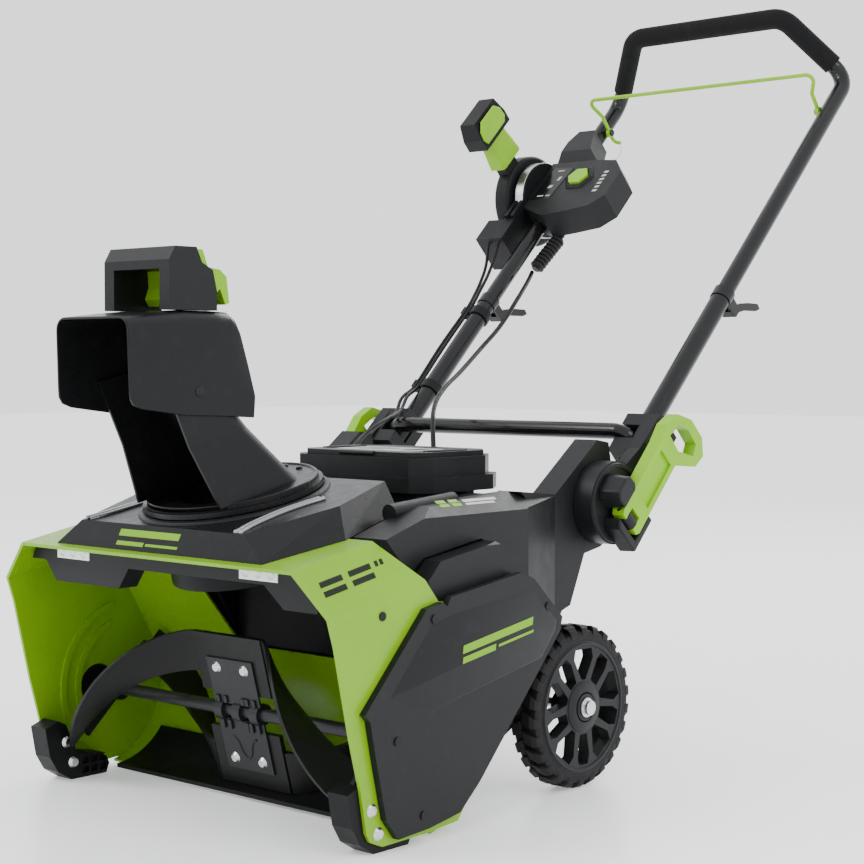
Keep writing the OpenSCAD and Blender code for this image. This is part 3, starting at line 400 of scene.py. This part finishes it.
# marks on the sloping top of each fairing
lean = math.radians(24)
strip = Matrix(((0, -math.cos(lean), math.sin(lean), 0), (1, 0, 0, 0),
                (0, math.sin(lean), math.cos(lean), 0), (0, 0, 0, 1)))
strip_shapes = [slanted(-232, -28, 16, 7), slanted(-230, -19, 16, 7), slanted(-210, -28, 16, 7),
                slanted(-208, -19, 16, 7)]
pale_shapes = [slanted(-186, -27, 52, 4.5), slanted(-184, -20, 60, 6)]
for side, turn in SIDES:
    at_strip = turn @ Matrix.Translation(P(206, 0, 372)) @ strip
    marks("strip_marks_" + side, strip_shapes, at_strip, "mark", "chassis")
    marks("strip_bars_" + side, pale_shapes, at_strip, "label", "chassis")

# wheels: a round carcass with two rows of staggered lugs, and the raised rings of the rim
WHEEL_AT = (243, 0, 101)
wheel_hub = {"l": along_x(*WHEEL_AT, 1), "r": along_x(*WHEEL_AT, -1)}
LUGS = 26
LUG_HALF, LUG_HALF_AT_EDGE, LUG_EDGE = math.radians(4.3), math.radians(3.4), 14
LUG_TWIST = math.radians(0.28)
for side, hub in wheel_hub.items():
    bm = bmesh.new()
    lathe(bm, [(82, -19), (90, -19), (94, -17), (95, -12), (95, 12), (94, 17), (90, 19), (82, 19)],
          hub, 104, closed=True)
    section = [(1.2, 94), (1.2, 101), (13, 101), (18, 97.5), (19.4, 92), (19.2, 88), (17, 88)]
    for k in range(LUGS):
        for s in (-1, 1):
            middle = (k + 0.25 * (s + 1)) * math.tau / LUGS
            rows = []
            for edge in (-1, 1):
                row = []
                for w, r in section:
                    half = LUG_HALF if w < LUG_EDGE else LUG_HALF_AT_EDGE
                    a = middle + edge * half + LUG_TWIST * w
                    at = Vector((r * math.cos(a), r * math.sin(a), s * w)) / 1000
                    row.append(bm.verts.new(hub @ at))
                rows.append(row)
            n = len(section)
            bm.faces.new(rows[0])
            bm.faces.new(rows[1][::-1])
            for i in range(n):
                j = (i + 1) % n
                bm.faces.new((rows[0][i], rows[1][i], rows[1][j], rows[0][j]))
    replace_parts(piece("tread_" + side, bm, "tyre", "wheel_" + side, 0.7), "tyre_" + side)
    bm = bmesh.new()
    lathe(bm, [(30, 17.6), (32, 19.6), (28, 22), (19, 22.6), (18.2, 21.5), (18.2, 17.6)], hub, 48,
          closed=True)
    lathe(bm, [(75.5, 18.7), (76.5, 20.6), (79.5, 20.6), (80.5, 18.7)], hub, 96, closed=True)
    piece("rim_rings_" + side, bm, "rim_plastic", "wheel_" + side, 0.4)

# joystick: black drum with a bright band, green stalk, and a green plate on the end of the grip
STICK_AT = TUBE @ shift(0, 243, -3)
stick = STICK_AT @ Matrix.Rotation(-math.pi / 2, 4, "Y")
bm = bmesh.new()
lathe(bm, [(0, 292), (66, 292), (73, 289), (74, 286), (74, 265), (70, 262.4), (0, 262.4)], stick, 72)
lathe(bm, [(0, 262.6), (10, 262.6), (10, 243), (0, 243)], stick, 32)
prism(bm, [(-18, 56), (16, 56), (13, 92), (-17, 92)], -289, -266, STICK_AT @ SIDE)
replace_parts(piece("joystick_drum", bm, "soft_black", "joystick", 1.4), "joystick_lever")
bm = bmesh.new()
prism(bm, [(-290, 216), (-262, 216), (-260, 222), (-260, 268), (-264, 274), (-290, 274)], 86, 139,
      TUBE, inset=7)
prism(bm, [(-287, 224), (-263, 224), (-263, 262), (-287, 262)], 130, 144, TUBE)
piece("joystick_stalk", bm, "green_plastic", "joystick", 1.6, 3)
bm = bmesh.new()
prism(bm, [(206, 148), (262, 148), (270, 156), (268, 172), (258, 184), (216, 184), (204, 172),
           (201, 158)], -255.2, -252.2, TUBE @ SIDE)
piece("joystick_end_plate", bm, "green_plastic", "joystick", 0.8)
bm = bmesh.new()
lathe(bm, [(60.2, 241), (61.6, 241), (61.6, 256), (60.2, 256)], stick, 72, closed=True)
piece("drum_band", bm, "steel", "upper_handle", 0.4)

# control box: glossy label, raised button ring, printed strip and plain marks
bm = bmesh.new()
prism(bm, [(-233, 206), (-197, 206), (-186, 280), (-226, 284)], 30, 30.8, TUBE)
piece("panel_label", bm, "tube_paint", "upper_handle", 0.3)
marks("panel_marks", [slanted(-224, 212, 12, 2.4), slanted(-207, 212, 8, 2.4), slanted(-214, 232, 7, 7),
                      slanted(-205, 250, 5, 9), slanted(-214, 273, 12, 2.4)],
      TUBE, "label", "upper_handle", lift=30.7)
marks("panel_strip", [slanted(-117, 216 + 9 * k, 8, 4.5) for k in range(6)], TUBE, "label",
      "upper_handle", lift=29.9)
bm = bmesh.new()
ring = TUBE @ shift(-160, 252, 0)
lathe(bm, [(20.4, 29), (20.4, 33), (23, 34.5), (28, 31), (28, 29.4)], ring, 6, closed=True)
piece("button_ring", bm, "black_plastic", "upper_handle", 0.6)

# bellows boot on the lead
bm = bmesh.new()
boot = Vector((-12, -68, -3)).normalized()
turn_boot = boot.to_track_quat("Z", "Y").to_matrix().to_4x4()
boot_frame = TUBE @ shift(-188, 172, -27) @ turn_boot
profile = [(0, -10), (5, -10), (5, -1), (9, 0)]
BELLOWS, BELLOWS_PITCH = 9, 7.2
FOLD = [(9, 2), (11.5, 3.4), (12, 5), (11.5, 6.6), (9, 8)]
for k in range(BELLOWS):
    profile += [(r, h + k * BELLOWS_PITCH) for r, h in FOLD]
profile += [(6, 69), (0, 69)]
lathe(bm, profile, boot_frame, 40)
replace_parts(piece("bellows_boot", bm, "rubber", "upper_handle"), "cable_boot")

# cables: each is in two lengths that meet on the lower handle, and both lengths stay fixed in place
CABLE_R, LEAD_R = 2.6, 3.4
cable_a = [(-270, 451, 717), (-268, 446, 704), (-262, 436, 684), (-252, 411, 656), (-243, 384, 632),
           (-234, 359, 614), (-234, 349, 604)]
cable_a_low = [(-234, 349, 604), (-236, 300, 556), (-234, 245, 501), (-234, 235, 491), (-224, 196, 475),
               (-206, 163, 454), (-178, 97, 438), (-170, 50, 420), (-156, 8, 398), (-142, -40, 379),
               (-137, -60, 367)]
cable_b = [(-250, 451, 717), (-247, 440, 698), (-242, 418, 668), (-236, 390, 640), (-227, 359, 614),
           (-227, 349, 604)]
cable_b_low = [(-227, 349, 604), (-228, 300, 556), (-227, 245, 501), (-227, 235, 491), (-214, 197, 477),
               (-196, 163, 458), (-168, 97, 444), (-160, 50, 426), (-146, 8, 402), (-133, -30, 380),
               (-130, -44, 368)]
upper_pair, lower_pair = ("lower_handle", "upper_handle"), ("chassis", "lower_handle")
first = sweep("chute_cable_a_upper", cable_a, CABLE_R, "cable", upper_pair,
              ((-234, 359, 614), (-262, 436, 684)))
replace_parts(first, "chute_cables")
sweep("chute_cable_b_upper", cable_b, CABLE_R, "cable", upper_pair,
      ((-227, 359, 614), (-242, 425, 680)))
sweep("chute_cable_a_lower", cable_a_low, CABLE_R, "cable", lower_pair,
      ((-142, -30, 379), (-215, 190, 465)))
sweep("chute_cable_b_lower", cable_b_low, CABLE_R, "cable", lower_pair,
      ((-133, -20, 380), (-205, 190, 468)))
lead = [(-202, 478, 671), (-192, 460, 662), (-178, 430, 646), (-165, 396, 626), (-150, 336, 583),
        (-135, 271, 547)]
lead_low = [(-135, 271, 547), (-110, 197, 514), (-85, 131, 489), (-60, 84, 466), (-36, 54, 440),
            (-22, 40, 400), (-20, 38, 354)]
first = sweep("power_cable_upper", lead, LEAD_R, "cable", upper_pair,
              ((-135, 271, 547), (-190, 456, 660)))
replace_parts(first, "power_cable")
sweep("power_cable_lower", lead_low, LEAD_R, "cable", lower_pair,
      ((-20, 38, 380), (-110, 197, 514)))
sweep("bail_wire", [(-186, 694, 891), (-183, 692, 880), (-180, 670, 862), (-178, 655, 848)], 0.8,
      "steel", "upper_handle")

# lamps: a bright reflector and a lens in each cell, three on each side
LAMP_X, CELL_PITCH = 163, 20.3
bm = bmesh.new()
for s in (-1, 1):
    for k in range(3):
        cell = Matrix.Translation(P(s * LAMP_X + (k - 1) * CELL_PITCH, -454.6, 298.5)) @ Matrix.Rotation(
            math.pi / 2, 4, "X")
        lathe(bm, [(0, -2.4), (2, -2.4), (5.6, 0.1), (6.6, 0.5), (6.6, -0.3), (5.4, -3.6), (0, -3.6)],
              cell, 32)
        lathe(bm, [(0, 0.4), (1.6, 0.1), (2.6, -1.2), (2.9, -2.6), (0, -2.6)], cell, 24)
piece("lamp_cells", bm, "led", "chassis")

# shroud: plain marks on its front, twin bright trims, the fixed collar, and the bead and screw caps
# of the ring that turns on it
FRONT_LEAN, FRONT_RISE = 8, 29
run = math.hypot(FRONT_LEAN, FRONT_RISE)
front = Matrix(((1, 0, 0, 0), (0, FRONT_LEAN / run, -FRONT_RISE / run, 0),
                (0, FRONT_RISE / run, FRONT_LEAN / run, 0), (0, 0, 0, 1)))
marks("shroud_marks", [slanted(-68, 16, 106, 8), slanted(-70, 5, 48, 5), slanted(-18, 6, 56, 3)],
      Matrix.Translation(P(0, -465, 310.8)) @ front, "mark", "chassis")
plateau = local_frame((0, -457, 340), 12.5)
TRIM = [(128, 2), (121, 28), (117.5, 54), (116, 80), (118, 108), (124, 138)]
TRIM_R, TRIM_PITCH = 3.0, 8
for side in (1, -1):
    for k in range(2):
        route = [(side * (x + k * TRIM_PITCH), y, 1.2 + 0.4 * k) for x, y in TRIM]
        sweep("trim_%s_%d" % ("lr"[side < 0], k), route, TRIM_R, "trim", "chassis",
              matrix=plateau)
bm = bmesh.new()
lathe(bm, [(109.4, -5.2), (115.5, -5.2), (114, -2.4), (110.6, -0.9), (109.4, -0.9)], CHUTE, 128,
      closed=True)
piece("ring_collar", bm, "black_plastic", "chassis", 0.5)
bm = bmesh.new()
lathe(bm, [(98, 11), (99, 12.6), (101.6, 12.6), (102.6, 11)], CHUTE, 128, closed=True)
for k in range(3):
    a = math.radians(70 + 20 * k)
    spot = CHUTE @ shift(88 * math.cos(a), 88 * math.sin(a), 11)
    lathe(bm, [(0, 2.6), (2.6, 2.6), (4, 1.4), (4.4, -0.4), (0, -0.4)], spot, 24)
piece("ring_bead", bm, "gloss_plastic", "chute", 0.3)

# deflector: one moulded shell, rounded along its top and at the corners of its cheeks, and the
# heads of its two pivot pins
CHEEK_HALF, CROWN_R, CROWN_STEPS = 64, 15, 7
SHELL_T = 2.6


def hood_section(half, top, low, corner):
    """One cross loop of the deflector: up one cheek, over a rounded crown, down the other."""
    low, top = Vector(low), Vector(top)
    rise = (top - low).length
    up = (top - low) / rise
    corner = min(corner, rise * 0.45)
    side = [(half, 0.0), (half, (rise - corner) * 0.5)]
    for k in range(CROWN_STEPS + 1):
        a = k / CROWN_STEPS * math.pi / 2
        side.append((half - corner + corner * math.cos(a), rise - corner + corner * math.sin(a)))
    side = side + [(-x, h) for x, h in side[::-1]]
    return [P(x, low.x + up.x * h, low.y + up.y * h) for x, h in side]


hood_top = [(-551.5, 578), (-548, 578.4), (-542, 579), (-532, 580), (-505, 583), (-470, 586),
            (-425, 585.8), (-402, 585), (-394, 580), (-388, 569), (-376, 534), (-365, 500)]
hood_low = [(-549.4, 498), (-548.4, 488), (-544, 481), (-532, 476.6), (-505, 473), (-474, 469),
            (-425, 467), (-402, 466), (-394, 465.5), (-386, 465), (-377, 464.6), (-368, 464)]
bm = bmesh.new()
skins = []
for drop in (0.0, SHELL_T):
    skin = []
    for top, low in zip(hood_top, hood_low):
        crown = (top[0] - drop * 0.3, top[1] - drop)
        loop = hood_section(CHEEK_HALF - drop, crown, low, CROWN_R - drop)
        skin.append([bm.verts.new(v) for v in loop])
    skins.append(skin)
for skin in skins:
    for one, two in zip(skin, skin[1:]):
        for k in range(len(one) - 1):
            bm.faces.new((one[k], one[k + 1], two[k + 1], two[k]))
outer, inner = skins
for row in (0, -1):
    for k in range(len(outer[row]) - 1):
        bm.faces.new((outer[row][k], outer[row][k + 1], inner[row][k + 1], inner[row][k]))
for col in (0, -1):
    for k in range(len(outer) - 1):
        bm.faces.new((outer[k][col], outer[k + 1][col], inner[k + 1][col], inner[k][col]))
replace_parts(piece("deflector_shell", bm, "gloss_plastic", "deflector", 0.6), "deflector")
bm = bmesh.new()
for _, turn in SIDES:
    lathe(bm, [(0, 65.6), (4, 65.6), (6, 64.9), (6.6, 63), (0, 63)],
          turn @ Matrix.Translation(P(0, -451, 495)) @ TO_X, 32)
piece("deflector_pins", bm, "black_plastic", "deflector", 0.3)

# battery lid: printed label with plain marks, and grip ribs
bm = bmesh.new()
prism(bm, [(-62, -104), (62, -104), (66, -98), (66, -40), (60, -34), (-60, -34), (-66, -40), (-66, -98)],
      415.2, 415.7, WORLD)
piece("lid_label", bm, "label", "battery_lid", 0.15)
marks("lid_marks", [slanted(-54, -92 + 10 * k, 60 + 14 * (k % 3), 3.4) for k in range(5)]
      + [slanted(34, -92, 22, 44, 0.0)], WORLD, "dark_mark", "battery_lid", lift=415.5)
bm = bmesh.new()
for x in (-96, -89, -82, 82, 89, 96):
    block(bm, (x - 1.6, -96, 415), (x + 1.6, -30, 416.8), WORLD)
piece("lid_ribs", bm, "black_plastic", "battery_lid", 0.7)

# each side: chamfered lock block and the foot that cups the lever, ring on the hub's disc, and the
# raised panel of the side cover
for side, turn in SIDES:
    bm = bmesh.new()
    prism(bm, [(-6, 26), (28, 25), (35, 34), (33, 50), (24, 56), (-1, 54), (-8, 44)], 256, 289,
          turn @ LEVER @ SIDE, inset=3)
    prism(bm, [(-25, -36), (30, -36), (30, -26.5), (-14.5, -26.5), (-14.5, 21), (-25, 12)], 256, 281,
          turn @ LEVER @ SIDE, inset=1)
    piece("lock_block_" + side, bm, "black_plastic", "lower_handle", 2.2, 3)
    bm = bmesh.new()
    lathe(bm, [(44, 256.6), (45, 259.4), (50, 259.4), (51.4, 256.6)],
          turn @ Matrix.Translation(P(0, 74, 350)) @ TO_X, 96, closed=True)
    piece("hub_ring_" + side, bm, "black_plastic", "lower_handle", 0.5)
    bm = bmesh.new()
    prism(bm, [(-322, 143), (-121, 180), (-95, 210), (-92, 222), (-140, 263), (-282, 249), (-318, 240),
               (-384, 168)], 291.6, 293.1, turn @ WORLD @ SIDE, inset=5)
    piece("cover_panel_" + side, bm, "black_plastic", "chassis", 0.8)

# the auger bracket: a pressed V under the shaft and a row of folded tabs on each plate
sweep("bracket_bead", [(-21, 33, -5.5), (-15, 36, -5.5), (-5, 57, -5.5), (0, 60, -5.5), (5, 57, -5.5),
                       (15, 36, -5.5), (21, 33, -5.5)], 1.5, "dark_steel", "auger",
      matrix=BRACKET_LOW)
bm = bmesh.new()
for x in (-31, -18.5, 12, 19, 31):
    block(bm, (x - 3, 11, -8.5), (x + 3, 23, -5.4), BRACKET_LOW)
    block(bm, (x - 3, 11, 5.4), (x + 3, 20, 8.0), BRACKET_UP)
piece("bracket_tabs", bm, "dark_steel", "auger", 0.6)

# ---------- stage, light and camera ----------
world = bpy.data.worlds.new("studio")
scene.world = world
world.use_nodes = True
backdrop = world.node_tree.nodes["Background"].inputs
backdrop["Color"].default_value = PALE_BLUE
backdrop["Strength"].default_value = 1.7

bm = bmesh.new()
bmesh.ops.create_grid(bm, x_segments=8, y_segments=8, size=14)
floor_mesh = bpy.data.meshes.new("floor")
bm.to_mesh(floor_mesh)
bm.free()
floor = bpy.data.objects.new("floor", floor_mesh)
scene.collection.objects.link(floor)
floor.data.materials.append(MAT["floor"])
pale = next(n for n in MAT["floor"].node_tree.nodes if n.type == "BSDF_PRINCIPLED")
pale.inputs["Emission Color"].default_value = PALE_BLUE
pale.inputs["Emission Strength"].default_value = 0.3


def area(name, at, target, size, power):
    data = bpy.data.lights.new(name, "AREA")
    data.shape = "RECTANGLE"
    data.size, data.size_y = size
    data.energy = power
    lamp = bpy.data.objects.new(name, data)
    lamp.location = at
    lamp.rotation_euler = (Vector(target) - Vector(at)).to_track_quat("-Z", "Y").to_euler()
    scene.collection.objects.link(lamp)


area("key", (-1.6, -2.6, 2.9), (0, 0, 0.4), (1.6, 1.6), 70)
area("side", (3.0, -0.4, 1.9), (0, 0, 0.4), (1.2, 2.0), 36)
area("back", (-0.6, 3.0, 2.6), (0, 0, 0.5), (2.4, 1.2), 60)

camera_data = bpy.data.cameras.new("camera")
camera_data.lens = 75.8
camera_data.sensor_width = 36
camera_data.clip_end = 60
camera = bpy.data.objects.new("camera", camera_data)
camera.location = P(1612, -1797.5, 528)
azimuth, down = math.radians(41.7), math.radians(2.2)
aim = Vector((-math.sin(azimuth) * math.cos(down), math.cos(azimuth) * math.cos(down), -math.sin(down)))
camera.rotation_euler = aim.to_track_quat("-Z", "Y").to_euler()
scene.collection.objects.link(camera)
scene.camera = camera
